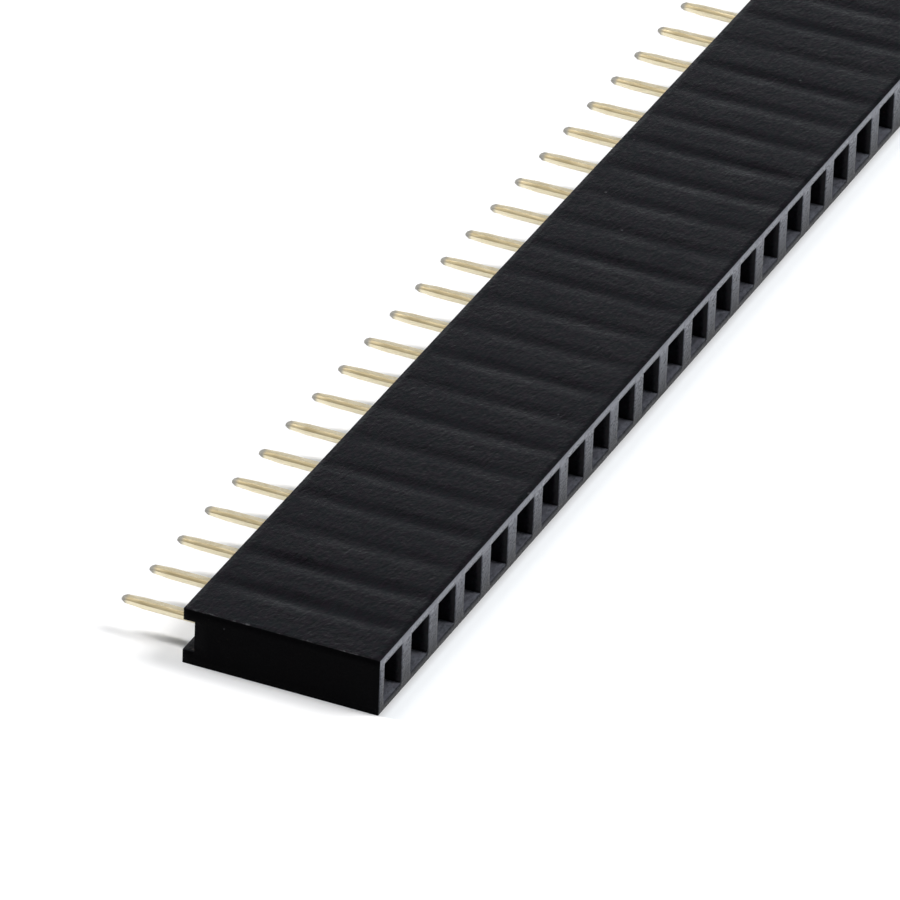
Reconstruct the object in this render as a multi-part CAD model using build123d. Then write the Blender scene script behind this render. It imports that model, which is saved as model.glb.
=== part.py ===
# Female pin header strip: a moulded housing and a row of stamped, dual-leaf socket contacts.
#
# Millimetres. X runs along the row and Z is up. The sockets open toward -Y and the solder tails
# point toward +Y. The strip lies on a broad side, and the origin is the middle of that side.
from build123d import *
from math import sqrt
import os

# Row
POSITIONS = 40
PITCH = 2.54

# Housing, outside
BODY_DEPTH = 8.5
BODY_THICKNESS = 2.5
EDGE_ROUND = 0.1
CHANNEL_DEPTH = 0.5
UPPER_RAIL = 0.52
LOWER_RAIL = 0.6

# Housing, inside each position
CAVITY_WIDTH = 1.65
SKIN = 0.35
SLOT_DEPTH = 1.2
STOP_WALL = 0.6

# Contact sheet: two layers in the base and the tail, one in each leaf
SHEET = 0.2
TAIL_LIFT = 0.1

# Contact tail
TAIL_WIDTH = 0.5
TAIL_REACH = 3.25
TAIL_CHAMFER = 0.12
TAPER_LENGTH = 0.8
TAPER_INSET = 0.05
NOSE_LENGTH = 0.15
NOSE_INSET = 0.08

# Contact base
BASE_STEP = 0.3
BARB_REACH = 0.1
BARB_LENGTH = 0.35
BARB_PLACE = 0.3

# Contact leaves
LEAF_SPREAD = 0.7
LEAF_TIP_WIDTH = 0.8
LEAF_RECESS = 1.0
LEAF_FLARE = 1.0
LEAF_BEND = 0.8
PIN_GRIP = 0.3

# Clearances
BASE_SIDE_CLEARANCE = 0.25
LEAF_CLEARANCE = 0.12
SLOT_CLEARANCE = 0.02
TAIL_CLEARANCE = 0.05

# Levels along the pins, from the socket face to the tips of the tails
SOCKET_FACE = -BODY_DEPTH / 2
LEAF_TIP = SOCKET_FACE + LEAF_RECESS
GRIP = LEAF_TIP + LEAF_FLARE
RAIL_FACE = BODY_DEPTH / 2
CHANNEL_FLOOR = RAIL_FACE - CHANNEL_DEPTH
SLOT_END = CHANNEL_FLOOR - STOP_WALL
CAVITY_FLOOR = SLOT_END - SLOT_DEPTH
BASE_FRONT = CAVITY_FLOOR - BASE_STEP
TAIL_END = RAIL_FACE + TAIL_REACH

# Sizes that several features share
ROW_LENGTH = POSITIONS * PITCH
MID_HEIGHT = BODY_THICKNESS / 2
CAVITY_HEIGHT = BODY_THICKNESS - 2 * SKIN
BASE_THICKNESS = 2 * SHEET
BASE_WIDTH = CAVITY_WIDTH - 2 * BASE_SIDE_CLEARANCE
SLOT_WIDTH = BASE_WIDTH + 2 * BARB_REACH
SLOT_HEIGHT = BASE_THICKNESS + 2 * SLOT_CLEARANCE
TAIL_HEIGHT = MID_HEIGHT + TAIL_LIFT


def position_x(index):
    """Middle of a position, counted from 0 at the -X end."""
    return (index + 0.5) * PITCH - ROW_LENGTH / 2


def block(width, height, y_from, y_to, z_middle):
    """Box centred on X, between two levels along Y."""
    return Pos(0, (y_from + y_to) / 2, z_middle) * Box(width, y_to - y_from, height)


def outer_body():
    """Plain bar with rounded long edges and cut ends."""
    bar = block(ROW_LENGTH, BODY_THICKNESS, SOCKET_FACE, RAIL_FACE, MID_HEIGHT)
    return fillet(bar.edges().filter_by(Axis.X), EDGE_ROUND)


def board_channel():
    """Groove between the two rails that keeps the solder joints clear of the housing."""
    height = BODY_THICKNESS - UPPER_RAIL - LOWER_RAIL
    open_y = RAIL_FACE + CHANNEL_DEPTH
    return block(2 * ROW_LENGTH, height, CHANNEL_FLOOR, open_y, LOWER_RAIL + height / 2)


def socket_cut():
    """Everything that is hollow at one position: cavity, base slot and tail slot."""
    cavity = block(CAVITY_WIDTH, CAVITY_HEIGHT, SOCKET_FACE - SKIN, CAVITY_FLOOR, MID_HEIGHT)
    base_slot = block(SLOT_WIDTH, SLOT_HEIGHT, BASE_FRONT, SLOT_END, TAIL_HEIGHT)
    tail_slot_width = TAIL_WIDTH + 2 * TAIL_CLEARANCE
    tail_slot = block(tail_slot_width, SLOT_HEIGHT, CAVITY_FLOOR, RAIL_FACE, TAIL_HEIGHT)
    return cavity + base_slot + tail_slot


def make_housing():
    """The moulded strip, with one socket cut for each position."""
    cut = socket_cut()
    sockets = [Pos(position_x(index), 0, 0) * cut for index in range(POSITIONS)]
    return outer_body() - board_channel() - sockets


def leaf(side):
    """One spring leaf, side +1 for the upper and -1 for the lower. Its path is its pin side."""
    widest = side * (CAVITY_HEIGHT / 2 - LEAF_CLEARANCE - SHEET)
    seam = [(CAVITY_FLOOR, TAIL_LIFT), (BASE_FRONT, TAIL_LIFT)]
    grip = (GRIP, side * PIN_GRIP / 2)
    path = Polyline(*seam, (BASE_FRONT - LEAF_SPREAD, widest), grip, (LEAF_TIP, widest))
    path = fillet(path.vertices().sort_by_distance(Vertex(*grip))[0], LEAF_BEND)
    outer_side = Side.RIGHT if side > 0 else Side.LEFT
    outline = offset(path, SHEET, kind=Kind.INTERSECTION, side=outer_side)
    return extrude(Plane.YZ * Pos(0, MID_HEIGHT) * make_face(outline), BASE_WIDTH, both=True)


def leaf_plan():
    """Plan view that both leaves are trimmed to: they narrow toward the socket mouth."""
    root = BASE_WIDTH / 2
    tip = LEAF_TIP_WIDTH / 2
    corners = [(-root, CAVITY_FLOOR), (root, CAVITY_FLOOR), (tip, SOCKET_FACE), (-tip, SOCKET_FACE)]
    return extrude(make_face(Polyline(*corners, close=True)), BODY_THICKNESS)


def base_plate():
    """Doubled base, seated on the stop wall, with a barb on each edge that bites the slot."""
    plain = BASE_WIDTH / 2
    barbed = plain + BARB_REACH
    barb_end = SLOT_END - BARB_PLACE
    half = Polyline(
        (0, BASE_FRONT),
        (plain, BASE_FRONT),
        (plain, barb_end - BARB_LENGTH),
        (barbed, barb_end - BARB_LENGTH),
        (plain, barb_end),
        (plain, SLOT_END),
        (0, SLOT_END),
        close=True,
    )
    right = make_face(half)
    plan = right + mirror(right, Plane.YZ)
    return Pos(0, 0, TAIL_HEIGHT - SHEET) * extrude(plan, BASE_THICKNESS)


def tail_slab(width, roll):
    """Slab of one width, with a slight taper and a blunt nose, rolled about the tail's axis."""
    half = width / 2
    outline = Polyline(
        (0, SLOT_END),
        (half, SLOT_END),
        (half, TAIL_END - NOSE_LENGTH - TAPER_LENGTH),
        (half - TAPER_INSET, TAIL_END - NOSE_LENGTH),
        (half - TAPER_INSET - NOSE_INSET, TAIL_END),
        (0, TAIL_END),
        close=True,
    )
    right = make_face(outline)
    slab = extrude(right + mirror(right, Plane.YZ), TAIL_WIDTH, both=True)
    return Pos(0, 0, TAIL_HEIGHT) * Rot(0, roll, 0) * slab


def solder_tail():
    """Coined tail: what four slabs share, two for its flats and two for its chamfered edges."""
    across_chamfers = (TAIL_WIDTH + BASE_THICKNESS - 2 * TAIL_CHAMFER) / sqrt(2)
    flats = tail_slab(TAIL_WIDTH, 0) & tail_slab(BASE_THICKNESS, 90)
    return flats & tail_slab(across_chamfers, 45) & tail_slab(across_chamfers, 135)


def make_contact():
    """One contact, at X = 0."""
    leaves = (leaf(1) + leaf(-1)) & leaf_plan()
    return leaves + base_plate() + solder_tail()


def main():
    os.makedirs("parts", exist_ok=True)
    export_step(make_housing(), "parts/housing.step")
    contact = make_contact()
    for index in range(POSITIONS):
        placed = Pos(position_x(index), 0, 0) * contact
        export_step(placed, f"parts/contact_{index + 1:02d}.step")


main()
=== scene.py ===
import math
import random

import bmesh
import bpy
from mathutils import Matrix, Vector


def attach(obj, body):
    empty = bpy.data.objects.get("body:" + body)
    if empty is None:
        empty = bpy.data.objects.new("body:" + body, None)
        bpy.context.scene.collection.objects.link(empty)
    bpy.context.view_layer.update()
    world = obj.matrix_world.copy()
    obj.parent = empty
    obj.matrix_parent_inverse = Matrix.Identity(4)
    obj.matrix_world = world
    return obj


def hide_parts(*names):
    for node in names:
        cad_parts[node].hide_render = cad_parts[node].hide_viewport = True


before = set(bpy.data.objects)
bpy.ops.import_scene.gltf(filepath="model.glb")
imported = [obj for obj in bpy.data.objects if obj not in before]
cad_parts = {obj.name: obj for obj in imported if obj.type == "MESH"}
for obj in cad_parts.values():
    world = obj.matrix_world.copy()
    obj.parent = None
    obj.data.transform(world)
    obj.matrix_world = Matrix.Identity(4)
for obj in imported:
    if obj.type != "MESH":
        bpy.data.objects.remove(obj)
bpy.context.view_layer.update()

# Lengths on the part are millimetres: X along the row, Y toward the solder tails, Z up.
# The camera, the lamps and the floor are in metres.
MM = 0.001

# Housing, the same values as the part's source
POSITIONS = 40
PITCH = 2.54
BODY_DEPTH = 8.5
BODY_THICKNESS = 2.5
CHANNEL_DEPTH = 0.5
UPPER_RAIL = 0.52
LOWER_RAIL = 0.6
CAVITY_WIDTH = 1.65
SKIN = 0.35
CAVITY_FLOOR = 1.95
SLOT_END = 3.15
SLOT_WIDTH = 1.35
TAIL_SLOT_WIDTH = 0.6
SLOT_LOW = 1.13
SLOT_HIGH = 1.57
TAIL_END = 7.5

# Levels that follow from them
ROW_START = -POSITIONS * PITCH / 2
SOCKET_FACE = -BODY_DEPTH / 2
RAIL_FACE = BODY_DEPTH / 2
CHANNEL_FLOOR = RAIL_FACE - CHANNEL_DEPTH
CHANNEL_HIGH = BODY_THICKNESS - UPPER_RAIL
CAVITY_HIGH = BODY_THICKNESS - SKIN

# Two coordinates nearer than this are the same level
SAME = 1e-4

# Softened edges of the contacts. The bevel's clamp makes them narrower than the width here.
CONTACT_ROUND = 0.015
CONTACT_SHARP = math.radians(25)
CONTACT_SEGMENTS = 2
CONTACT_WELD = 0.001
CONTACT_NORMAL_WEIGHT = 60

# Sink marks: the broad faces drop over the thick walls between the cavities
SINK_DEPTH = 0.062
SINK_HALF_WIDTH = 0.78
SINK_STRENGTH = (0.60, 1.20)
NEAR_END_STRENGTH = {1: 1.35, 2: 1.25}
SINK_SEED = 7
SINK_BORDER = 0.1
MOUTH_STRIP = 0.4
MOUTH_STRIP_SHARE = 0.55
TAIL_SIDE_LOSS = 0.65
SINK_STEPS_X = (0.15, 0.3, 0.77)
SINK_STEPS_Y = (-3.95, -3.0, -1.5, 0.0, 1.2, 2.5, 4.0)

# Noises: stretch along X, Y and Z, then scale, detail and roughness
EVEN = (1.0, 1.0, 1.0)
GRAIN_NOISE = ((0.55, 1.0, 1.0), 7.5, 2.0, 0.7)
BLOTCH_NOISE = ((0.6, 1.0, 1.3), 5.0, 2.0, 0.65)
FLOW_NOISE = ((1.0, 0.35, 1.0), 0.9, 3.0, 0.55)
PORE_NOISE = (EVEN, 22.0, 2.0, 0.6)
FLECK_NOISE = ((1.0, 0.7, 1.0), 2.6, 4.0, 0.75)
DRAWN_NOISE = ((26.0, 1.2, 26.0), 1.0, 3.0, 0.6)
CLOUD_NOISE = (EVEN, 1.6, 3.0, 0.6)
MOTTLE_NOISE = (EVEN, 8.0, 2.0, 0.7)
FINE_NOISE = (EVEN, 16.0, 2.0, 0.5)

# Copies of one plastic for the housing, in the order of its material slots
BODY, MOUTH_SIDE, END, CAVITY = range(4)
HOUSING_PLASTIC_COPIES = (
    dict(
        name="housing_body",
        dark=(0.0006, 0.0008, 0.0013),
        light=(0.0040, 0.0062, 0.0080),
        tint=(0.0062, 0.0030, 0.0064),
        ior=1.18,
        rough=(0.32, 0.56),
        grain=0.026,
        chip_highlighted=True,
    ),
    # Lit copy for the mouth side: painted light in its colours
    dict(
        name="housing_face_lit_copy",
        dark=(0.055, 0.059, 0.071),
        light=(0.188, 0.202, 0.240),
        tint=(0.124, 0.126, 0.154),
        ior=1.20,
        rough=(0.22, 0.36),
        grain=0.016,
        painted_light=True,
    ),
    # Shaded copy for the cut ends: painted shade in its colours
    dict(
        name="housing_end_shaded_copy",
        dark=(0.0004, 0.0004, 0.0006),
        light=(0.0014, 0.0014, 0.0018),
        tint=(0.0011, 0.0009, 0.0013),
        ior=1.09,
        rough=(0.45, 0.60),
        grain=0.010,
    ),
    # Lit copy for the cavity floors: painted light in its colours
    dict(
        name="housing_cavity_lit_copy",
        dark=(0.046, 0.049, 0.059),
        light=(0.124, 0.132, 0.156),
        tint=(0.085, 0.084, 0.103),
        ior=1.12,
        rough=(0.50, 0.62),
        grain=0.016,
    ),
)

# Marks on the housing: colour, share, where they fade, and how far noise moves that place
TINT_SHARE = 0.8
DUST_COLOUR = (0.06, 0.06, 0.065)
DUST_SHARE = 0.8
DUST_SCALE = 0.45
DUST_RADIUS = 0.034
# Pale flecks at the cut ends' broad edges: chips and burrs with a painted highlight
CHIP_HIGHLIGHT_COLOUR = (0.13, 0.13, 0.14)
CHIP_HIGHLIGHT_FROM_END = (0.24, 0.40)
CHIP_HIGHLIGHT_RAGGED = 0.5
CHIP_HIGHLIGHT_FROM_MIDDLE = (1.17, 1.24)
# Painted shade: the mouth side darkens toward the floor
PAINTED_SHADE_COLOUR = (0.002, 0.002, 0.003)
PAINTED_SHADE_SHARE = 0.97
# Painted highlight: a pale strip along the mouth side's upper lip
LIP_HIGHLIGHT_COLOUR = (0.24, 0.25, 0.28)
LIP_HIGHLIGHT_SHARE = 0.8
LIP_HIGHLIGHT_HEIGHT = (2.12, 2.42)
LIP_HIGHLIGHT_RAGGED = 0.3

# Finish of the contacts
GOLD_DARK = (0.80, 0.68, 0.43)
GOLD_LIGHT = (0.97, 0.89, 0.69)
GOLD_METALLIC = 0.60
GOLD_ROUGH = (0.32, 0.44)
# Painted shade on the upward chamfers: a dark reflection put into the colour
CHAMFER_SHADE_COLOUR = (0.42, 0.34, 0.19)
CHAMFER_SHADE_ROUGH = 0.16
# Cut sides painted paler: a painted reflection of the pale floor
CUT_AND_REFLECTION_COLOUR = (0.92, 0.84, 0.61)
CUT_AND_REFLECTION_SHARE = 0.7
# The tips turn grey
GREY_TIP_COLOUR = (0.35, 0.34, 0.31)
GREY_TIP_ROUGH = 0.2
GREY_TIP_START = TAIL_END - 0.26
GREY_TIP_FULL = TAIL_END - 0.02
GREY_TIP_RAGGED = 0.22

# How far a contact's face looks up or along the row: at its chamfers, its top and its cut sides
CHAMFER_UPWARD = (0.20, 0.45)
TOP_UPWARD = (0.999, 0.95)
CUT_AND_REFLECTION_SIDEWAYS = (0.85, 0.97)

# Camera fitted to the photograph
CAMERA_AT = Vector((-0.37241, -0.14396, 0.22063))
CAMERA_FORWARD = Vector((0.7907, 0.3372, -0.5109))
CAMERA_RIGHT = Vector((0.4127, -0.9101, 0.0381))
LENS = 423.34
SENSOR = 36.0
CLIP_START = 0.01
CLIP_END = 10.0

# Lamps, each aimed at the origin
WARM_WHITE = (1.0, 0.99, 0.98)
COOL_WHITE = (0.92, 0.97, 1.0)
LAMPS = (
    dict(
        name="overhead",
        at=(-0.06, 0.48, 0.62),
        size=(0.13, 0.74),
        power=4.95,
        colour=WARM_WHITE,
    ),
    dict(
        name="front",
        at=(0.15, -0.45, 0.63),
        size=(0.26, 0.42),
        power=4.3,
        colour=WARM_WHITE,
    ),
    dict(
        name="rake",
        at=(0.87, 0.37, 0.22),
        size=(0.50, 0.20),
        power=0.49,
        colour=COOL_WHITE,
    ),
)

# Room. A height here is the upward part of the direction that a ray leaves in.
ROOM_COLOUR = (0.88, 0.94, 1.0)
ROOM_LOW = 0.26
ROOM_HIGH = 0.10
ROOM_TOP = 0.5
HORIZON = (0.08, 0.30)

# Floor. Its glow lifts it to white for the camera and in reflections, and lights nothing matte.
# In front of the mouths the glow is stronger, a painted light over the housing's shadow.
FLOOR_HALF = 3.0
FLOOR_DROP = 0.00001
FLOOR_COLOUR = (0.94, 0.94, 0.95)
GLOW_COLOUR = (0.88, 0.95, 1.0)
GLOW_FRONT = 0.38
GLOW_BACK = 0.08
GLOW_BLEND = 0.4


def rgba(colour):
    return (*colour, 1.0)


class Nodes:
    """A few shorthands for building a node tree. A value is a number or another node's socket."""

    def __init__(self, tree):
        self.tree = tree
        tree.nodes.clear()

    def add(self, kind, **settings):
        node = self.tree.nodes.new(kind)
        for name, value in settings.items():
            setattr(node, name, value)
        return node

    def link(self, source, target):
        self.tree.links.new(source, target)

    def feed(self, node, socket, value):
        if isinstance(value, bpy.types.NodeSocket):
            self.link(value, node.inputs[socket])
        else:
            node.inputs[socket].default_value = value

    def math(self, operation, a, b=0.0):
        node = self.add("ShaderNodeMath", operation=operation)
        self.feed(node, 0, a)
        self.feed(node, 1, b)
        return node.outputs[0]

    def plus(self, a, b):
        return self.math("ADD", a, b)

    def times(self, a, b):
        return self.math("MULTIPLY", a, b)

    def absolute(self, a):
        return self.math("ABSOLUTE", a)

    def span(self, value, low, high, to_low=0.0, to_high=1.0, smooth=False):
        """Maps low..high to to_low..to_high, and holds those beyond the ends."""
        kind = "SMOOTHSTEP" if smooth else "LINEAR"
        node = self.add("ShaderNodeMapRange", interpolation_type=kind)
        for socket, v in enumerate((value, low, high, to_low, to_high)):
            self.feed(node, socket, v)
        return node.outputs[0]

    def mix(self, share, a, b):
        """Colour a, with the given share of colour b. A colour is three numbers or a socket."""
        node = self.add("ShaderNodeMix", data_type="RGBA")
        self.feed(node, 0, share)
        for socket, colour in ((6, a), (7, b)):
            self.feed(node, socket, rgba(colour) if isinstance(colour, tuple) else colour)
        return node.outputs[2]

    def coordinates(self, kind):
        return self.add("ShaderNodeTexCoord").outputs[kind]

    def millimetres(self, stretch=EVEN):
        """Place on the part in millimetres, times a stretch along each axis."""
        node = self.add("ShaderNodeVectorMath", operation="MULTIPLY")
        self.link(self.coordinates("Object"), node.inputs[0])
        node.inputs[1].default_value = [s / MM for s in stretch]
        return node.outputs[0]

    def axes(self, vector):
        """The X, Y and Z of a vector, by name."""
        split = self.add("ShaderNodeSeparateXYZ")
        self.link(vector, split.inputs[0])
        return split.outputs

    def noise(self, stretch, scale, detail, roughness):
        node = self.add("ShaderNodeTexNoise")
        self.feed(node, "Vector", self.millimetres(stretch))
        self.feed(node, "Scale", scale)
        self.feed(node, "Detail", detail)
        self.feed(node, "Roughness", roughness)
        return node.outputs[0]

    def specks(self, scale, radius):
        """Scattered soft dots."""
        node = self.add("ShaderNodeTexVoronoi")
        self.feed(node, "Vector", self.millimetres())
        self.feed(node, "Scale", scale)
        return self.span(node.outputs["Distance"], radius * 0.6, radius, 1.0, 0.0)

    def bump(self, height, distance, strength=1.0, normal=None):
        node = self.add("ShaderNodeBump")
        self.feed(node, "Height", height)
        node.inputs["Distance"].default_value = distance * MM
        node.inputs["Strength"].default_value = strength
        if normal is not None:
            self.link(normal, node.inputs["Normal"])
        return node.outputs[0]

    def seen(self):
        """1 for camera, glossy and transmission rays, 0 for rays that light a matte face."""
        rays = self.add("ShaderNodeLightPath").outputs
        seen = self.math("MAXIMUM", rays["Is Camera Ray"], rays["Is Glossy Ray"])
        return self.math("MAXIMUM", seen, rays["Is Transmission Ray"])


def material(name):
    made = bpy.data.materials.new(name)
    made.use_nodes = True
    n = Nodes(made.node_tree)
    shader = n.add("ShaderNodeBsdfPrincipled")
    output = n.add("ShaderNodeOutputMaterial")
    n.link(shader.outputs[0], output.inputs[0])
    return made, n, shader


def chip_highlights(n, blotches):
    """Share of pale flecks along the broad edges of the two cut ends: chips and burrs, with a
    painted highlight on them.
    """
    place = n.axes(n.millimetres())
    from_end = n.math("SUBTRACT", -ROW_START, n.absolute(place["X"]))
    ragged = n.plus(from_end, n.times(blotches, CHIP_HIGHLIGHT_RAGGED))
    near_end = n.span(ragged, *CHIP_HIGHLIGHT_FROM_END, 1.0, 0.0)
    flecks = n.span(n.noise(*FLECK_NOISE), 0.52, 0.70)
    from_middle = n.absolute(n.math("SUBTRACT", place["Z"], BODY_THICKNESS / 2))
    near_edge = n.span(from_middle, *CHIP_HIGHLIGHT_FROM_MIDDLE)
    return n.times(n.times(near_end, flecks), near_edge)


def painted_light_on_mouth_side(n, fine, colour):
    """Painted shade darkens the mouth side toward the floor, and a painted highlight makes its
    upper lip pale.
    """
    height = n.axes(n.millimetres())["Z"]
    # Painted shade: the colour darkens toward the floor.
    painted_shade = n.span(height, 0.0, BODY_THICKNESS, PAINTED_SHADE_SHARE, 0.0)
    colour = n.mix(painted_shade, colour, PAINTED_SHADE_COLOUR)
    # Painted highlight: a pale strip along the upper lip.
    ragged = n.plus(height, n.times(fine, LIP_HIGHLIGHT_RAGGED))
    painted_light = n.span(ragged, *LIP_HIGHLIGHT_HEIGHT, 0.0, LIP_HIGHLIGHT_SHARE)
    return n.mix(painted_light, colour, LIP_HIGHLIGHT_COLOUR)


def plastic(name, dark, light, tint, ior, rough, grain, chip_highlighted=False, painted_light=False):
    """Black moulding compound: spark-eroded grain, faint flow clouds and a little dust."""
    made, n, shader = material(name)
    fine = n.noise(*GRAIN_NOISE)
    blotches = n.noise(*BLOTCH_NOISE)
    flow = n.noise(*FLOW_NOISE)

    tone = n.plus(n.times(fine, 0.7), n.times(flow, 0.3))
    colour = n.mix(n.span(tone, 0.38, 0.62), dark, light)
    colour = n.mix(n.span(blotches, 0.42, 0.62, 0.0, TINT_SHARE), colour, tint)
    dust = n.times(n.specks(DUST_SCALE, DUST_RADIUS), DUST_SHARE)
    colour = n.mix(dust, colour, DUST_COLOUR)
    # Pale flecks at the cut ends: chips with a painted highlight
    if chip_highlighted:
        colour = n.mix(chip_highlights(n, blotches), colour, CHIP_HIGHLIGHT_COLOUR)
    if painted_light:
        # Painted shade and painted highlight on the mouth side
        colour = painted_light_on_mouth_side(n, fine, colour)
    n.feed(shader, "Base Color", colour)

    patches = n.plus(fine, n.times(flow, 0.8))
    n.feed(shader, "Roughness", n.span(patches, 0.7, 1.1, *rough))
    shader.inputs["IOR"].default_value = ior
    grained = n.bump(n.plus(fine, blotches), grain)
    n.feed(shader, "Normal", n.bump(n.noise(*PORE_NOISE), grain * 0.3, normal=grained))
    return made


def gold():
    """Thin gold flash over rolled strip: drawn lines, painted shade on the upward chamfers, cut
    sides painted paler with the floor's reflection, and grey tips.
    """
    made, n, shader = material("gold_flash")
    facing = n.axes(n.coordinates("Normal"))
    along = n.axes(n.millimetres())["Y"]
    lines = n.noise(*DRAWN_NOISE)
    cloud = n.noise(*CLOUD_NOISE)
    fine = n.noise(*FINE_NOISE)

    mottle = n.plus(n.times(lines, 0.4), n.times(n.noise(*MOTTLE_NOISE), 0.6))
    tone = n.span(n.plus(n.times(cloud, 0.5), mottle), 0.55, 0.95)
    colour = n.mix(tone, GOLD_DARK, GOLD_LIGHT)
    chamfer = n.times(n.span(facing["Z"], *CHAMFER_UPWARD), n.span(facing["Z"], *TOP_UPWARD))
    # Painted shade: a dark band on the upward chamfers, for a dark reflection
    chamfer_shade = n.times(chamfer, n.span(lines, 0.3, 0.6, 0.6, 1.0))
    colour = n.mix(chamfer_shade, colour, CHAMFER_SHADE_COLOUR)
    # Cut sides painted paler: a painted reflection of the pale floor
    cut_and_reflection = n.span(n.absolute(facing["X"]), *CUT_AND_REFLECTION_SIDEWAYS)
    colour = n.mix(n.times(cut_and_reflection, CUT_AND_REFLECTION_SHARE), colour, CUT_AND_REFLECTION_COLOUR)
    ragged = n.plus(along, n.times(cloud, GREY_TIP_RAGGED))
    grey_tip = n.span(ragged, GREY_TIP_START, GREY_TIP_FULL, smooth=True)
    colour = n.mix(grey_tip, colour, GREY_TIP_COLOUR)
    n.feed(shader, "Base Color", colour)

    shader.inputs["Metallic"].default_value = GOLD_METALLIC
    rough = n.span(n.plus(lines, fine), 0.7, 1.3, *GOLD_ROUGH)
    rough = n.plus(rough, n.times(chamfer_shade, CHAMFER_SHADE_ROUGH))
    n.feed(shader, "Roughness", n.plus(rough, n.times(grey_tip, GREY_TIP_ROUGH)))
    scratched = n.bump(lines, 0.004, 0.6)
    n.feed(shader, "Normal", n.bump(fine, 0.003, 0.5, scratched))
    return made


def levels_along_row():
    """Levels along X: the walls and slots of each position, and steps for the sink marks."""
    walls = [(PITCH - width) / 2 for width in (CAVITY_WIDTH, SLOT_WIDTH, TAIL_SLOT_WIDTH)]
    half = [0.0, *sorted((*walls, *SINK_STEPS_X))]
    cell = half + [PITCH / 2] + [PITCH - v for v in reversed(half[1:])]
    levels = [ROW_START + k * PITCH + v for k in range(POSITIONS) for v in cell]
    return levels + [-ROW_START]


def is_hollow(x, y, z):
    """Whether a place inside the bar is in the channel, a cavity or a contact's slot."""
    across = abs((x - ROW_START) % PITCH - PITCH / 2)
    if y > CHANNEL_FLOOR and LOWER_RAIL < z < CHANNEL_HIGH:
        return True
    if y < CAVITY_FLOOR:
        return across < CAVITY_WIDTH / 2 and SKIN < z < CAVITY_HIGH
    width = SLOT_WIDTH if y < SLOT_END else TAIL_SLOT_WIDTH
    return y < CHANNEL_FLOOR and SLOT_LOW < z < SLOT_HIGH and across < width / 2


def housing_mesh():
    """The moulding's skin: every face between a solid and a hollow box of one grid."""
    xs = levels_along_row()
    ys = sorted((SOCKET_FACE, CAVITY_FLOOR, SLOT_END, CHANNEL_FLOOR, RAIL_FACE, *SINK_STEPS_Y))
    zs = [0.0, SKIN, LOWER_RAIL, SLOT_LOW, SLOT_HIGH, CHANNEL_HIGH, CAVITY_HIGH, BODY_THICKNESS]

    def middles(levels):
        return [(a + b) / 2 for a, b in zip(levels, levels[1:])]

    solid = {
        (i, j, k)
        for i, x in enumerate(middles(xs))
        for j, y in enumerate(middles(ys))
        for k, z in enumerate(middles(zs))
        if not is_hollow(x, y, z)
    }
    bm = bmesh.new()
    corners = {}

    def corner(i, j, k):
        if (i, j, k) not in corners:
            corners[i, j, k] = bm.verts.new((xs[i] * MM, ys[j] * MM, zs[k] * MM))
        return corners[i, j, k]

    sides = {
        (-1, 0, 0): ((0, 0, 0), (0, 0, 1), (0, 1, 1), (0, 1, 0)),
        (1, 0, 0): ((1, 0, 0), (1, 1, 0), (1, 1, 1), (1, 0, 1)),
        (0, -1, 0): ((0, 0, 0), (1, 0, 0), (1, 0, 1), (0, 0, 1)),
        (0, 1, 0): ((0, 1, 0), (0, 1, 1), (1, 1, 1), (1, 1, 0)),
        (0, 0, -1): ((0, 0, 0), (0, 1, 0), (1, 1, 0), (1, 0, 0)),
        (0, 0, 1): ((0, 0, 1), (1, 0, 1), (1, 1, 1), (0, 1, 1)),
    }
    for i, j, k in sorted(solid):
        for (di, dj, dk), ring in sides.items():
            if (i + di, j + dj, k + dk) not in solid:
                bm.faces.new([corner(i + a, j + b, k + c) for a, b, c in ring])
    bm.normal_update()
    return bm


def sink_share(x):
    """Share of the sink marks' depth at a place along the row, and the wall it belongs to."""
    offset = (x - ROW_START) / PITCH
    wall = round(offset)
    away = abs(offset - wall) * PITCH / SINK_HALF_WIDTH
    if wall in (0, POSITIONS) or away >= 1.0:
        return 0.0, wall
    return 0.5 + 0.5 * math.cos(math.pi * away), wall


def sink_reach(y):
    """Share of the sink marks' depth at a place between the mouths and the tails."""
    if y < SOCKET_FACE + SINK_BORDER or y > RAIL_FACE - SINK_BORDER:
        return 0.0
    if y < SOCKET_FACE + MOUTH_STRIP:
        return MOUTH_STRIP_SHARE
    if y <= CAVITY_FLOOR:
        return 1.0
    return 1.0 - TAIL_SIDE_LOSS * (y - CAVITY_FLOOR) / (RAIL_FACE - CAVITY_FLOOR)


def press_sink_marks(bm):
    """Moves the two broad faces inward over the walls between the cavities."""
    rng = random.Random(SINK_SEED)
    strength = [rng.uniform(*SINK_STRENGTH) for _ in range(POSITIONS + 1)]
    for wall, value in NEAR_END_STRENGTH.items():
        strength[wall] = value
    for v in bm.verts:
        x, y, z = (c / MM for c in v.co)
        top = abs(z - BODY_THICKNESS) < SAME
        bottom = abs(z) < SAME
        if top or bottom:
            share, wall = sink_share(x)
            depth = SINK_DEPTH * share * strength[wall] * sink_reach(y)
            v.co.z += -depth * MM if top else depth * MM


def plastic_copy_of(face):
    """Material slot of a face of the moulding: the lit or shaded copy of the plastic that it
    takes.
    """
    middle = face.calc_center_median() / MM
    if abs(middle.y - SOCKET_FACE) < SAME:
        return MOUTH_SIDE
    if abs(abs(middle.x) + ROW_START) < SAME:
        return END
    level = abs(face.normal.z) > 0.5
    in_cavity = middle.y < CAVITY_FLOOR and SKIN - SAME < middle.z < CAVITY_HIGH + SAME
    return CAVITY if level and in_cavity else BODY


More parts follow.
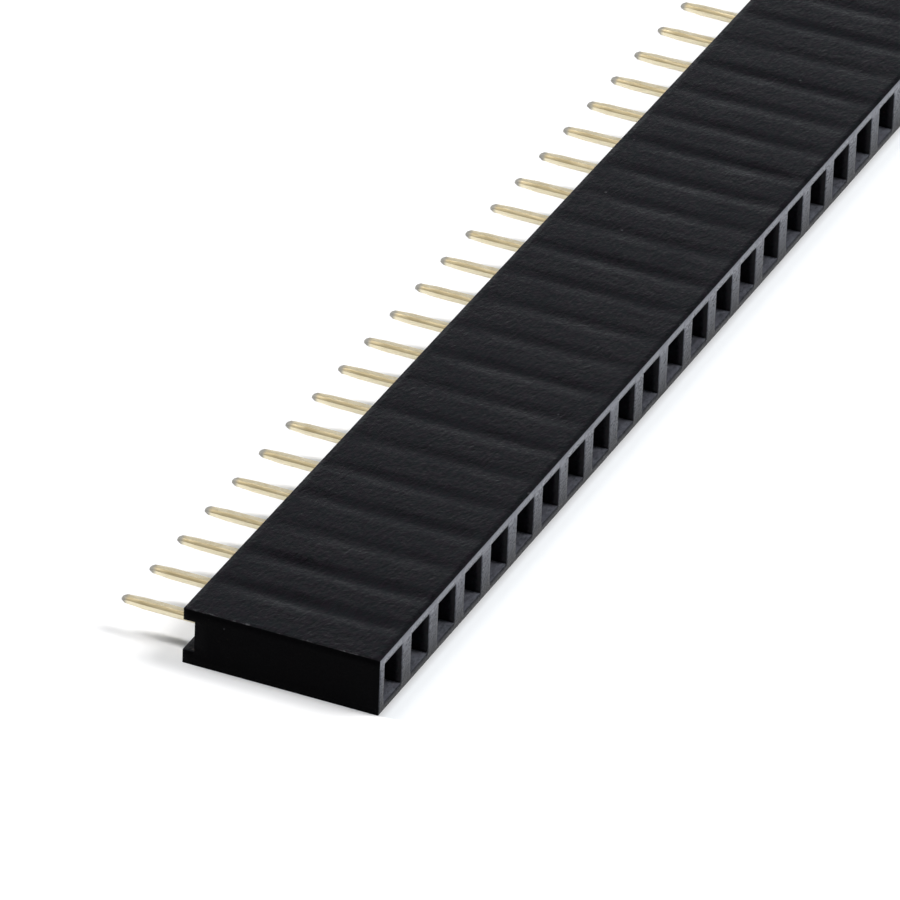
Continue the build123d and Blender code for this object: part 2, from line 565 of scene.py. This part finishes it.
def make_housing():
    """The moulding as a detailed mesh in place of its plain node.

    Its edges are square. Smooth shading across them makes them look softer than they are.
    """
    bm = housing_mesh()
    press_sink_marks(bm)
    for face in bm.faces:
        face.smooth = True
        face.material_index = plastic_copy_of(face)

    mesh = bpy.data.meshes.new("housing_moulding")
    bm.to_mesh(mesh)
    bm.free()
    for finish in HOUSING_PLASTIC_COPIES:
        mesh.materials.append(plastic(**finish))
    piece = bpy.data.objects.new("housing_moulding", mesh)
    bpy.context.scene.collection.objects.link(piece)
    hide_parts("housing")
    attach(piece, "root")


def dress_contacts():
    """Gives the contacts of the CAD model softened edges and their finish."""
    finish = gold()
    for index in range(POSITIONS):
        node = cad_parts[f"contact_{index + 1:02d}"]
        node.data.materials.clear()
        node.data.materials.append(finish)
        for polygon in node.data.polygons:
            polygon.use_smooth = True
            polygon.material_index = 0
        weld = node.modifiers.new("joined faces", "WELD")
        weld.merge_threshold = CONTACT_WELD * MM
        bevel = node.modifiers.new("coined edges", "BEVEL")
        bevel.width = CONTACT_ROUND * MM
        bevel.segments = CONTACT_SEGMENTS
        bevel.limit_method = "ANGLE"
        bevel.angle_limit = CONTACT_SHARP
        bevel.use_clamp_overlap = True
        normals = node.modifiers.new("flat faces", "WEIGHTED_NORMAL")
        normals.weight = CONTACT_NORMAL_WEIGHT


def floor_material():
    """Matte pale floor, with a glow that only the camera and reflections see."""
    made = bpy.data.materials.new("floor")
    made.use_nodes = True
    n = Nodes(made.node_tree)
    matte = n.add("ShaderNodeBsdfDiffuse")
    matte.inputs["Color"].default_value = rgba(FLOOR_COLOUR)
    glow = n.add("ShaderNodeEmission")
    glow.inputs["Color"].default_value = rgba(GLOW_COLOUR)
    along = n.axes(n.millimetres())["Y"]
    blend_start = SOCKET_FACE - GLOW_BLEND
    # Painted light: a stronger glow in front of the mouths fills the housing's shadow there
    amount = n.span(along, blend_start, SOCKET_FACE, GLOW_FRONT, GLOW_BACK, smooth=True)
    n.feed(glow, "Strength", n.times(n.seen(), amount))
    both = n.add("ShaderNodeAddShader")
    n.link(matte.outputs[0], both.inputs[0])
    n.link(glow.outputs[0], both.inputs[1])
    output = n.add("ShaderNodeOutputMaterial")
    n.link(both.outputs[0], output.inputs[0])
    return made


def make_floor():
    reach = FLOOR_HALF
    corners = [(-reach, -reach, 0), (reach, -reach, 0), (reach, reach, 0), (-reach, reach, 0)]
    mesh = bpy.data.meshes.new("floor")
    mesh.from_pydata(corners, [], [(0, 1, 2, 3)])
    mesh.materials.append(floor_material())
    floor = bpy.data.objects.new("floor", mesh)
    floor.location.z = -FLOOR_DROP
    bpy.context.scene.collection.objects.link(floor)


def make_world():
    """The room: a dim fill, and a white horizon that only the camera and reflections see."""
    world = bpy.data.worlds.new("studio")
    bpy.context.scene.world = world
    world.use_nodes = True
    n = Nodes(world.node_tree)
    height = n.axes(n.coordinates("Generated"))["Z"]
    room = n.span(height, 0.0, ROOM_TOP, ROOM_LOW, ROOM_HIGH, smooth=True)
    horizon = n.span(height, *HORIZON, 1.0, 0.0, smooth=True)
    background = n.add("ShaderNodeBackground")
    background.inputs["Color"].default_value = rgba(ROOM_COLOUR)
    n.feed(background, "Strength", n.math("MAXIMUM", n.times(n.seen(), horizon), room))
    output = n.add("ShaderNodeOutputWorld")
    n.link(background.outputs[0], output.inputs[0])


def placed(at, right, up, back):
    """Matrix of a lamp or camera from its place and its three directions."""
    return Matrix.Translation(at) @ Matrix((right, up, back)).transposed().to_4x4()


def make_lamp(name, at, size, power, colour):
    """Soft rectangular lamp with a level width."""
    data = bpy.data.lights.new(name, "AREA")
    data.shape = "RECTANGLE"
    data.size, data.size_y = size
    data.energy = power
    data.color = colour
    lamp = bpy.data.objects.new(name, data)
    back = Vector(at).normalized()
    right = Vector((0, 0, 1)).cross(back).normalized()
    lamp.matrix_world = placed(Vector(at), right, back.cross(right), back)
    lamp.visible_camera = False
    bpy.context.scene.collection.objects.link(lamp)


def make_camera():
    data = bpy.data.cameras.new("camera")
    data.sensor_width = SENSOR
    data.lens = LENS
    data.clip_start = CLIP_START
    data.clip_end = CLIP_END
    camera = bpy.data.objects.new("camera", data)
    forward = CAMERA_FORWARD.normalized()
    right = (CAMERA_RIGHT - forward * CAMERA_RIGHT.dot(forward)).normalized()
    camera.matrix_world = placed(CAMERA_AT, right, right.cross(forward), -forward)
    bpy.context.scene.collection.objects.link(camera)
    bpy.context.scene.camera = camera


make_camera()
make_floor()
make_world()
for lamp in LAMPS:
    make_lamp(**lamp)
make_housing()
dress_contacts()
bpy.context.scene.view_settings.view_transform = "Standard"
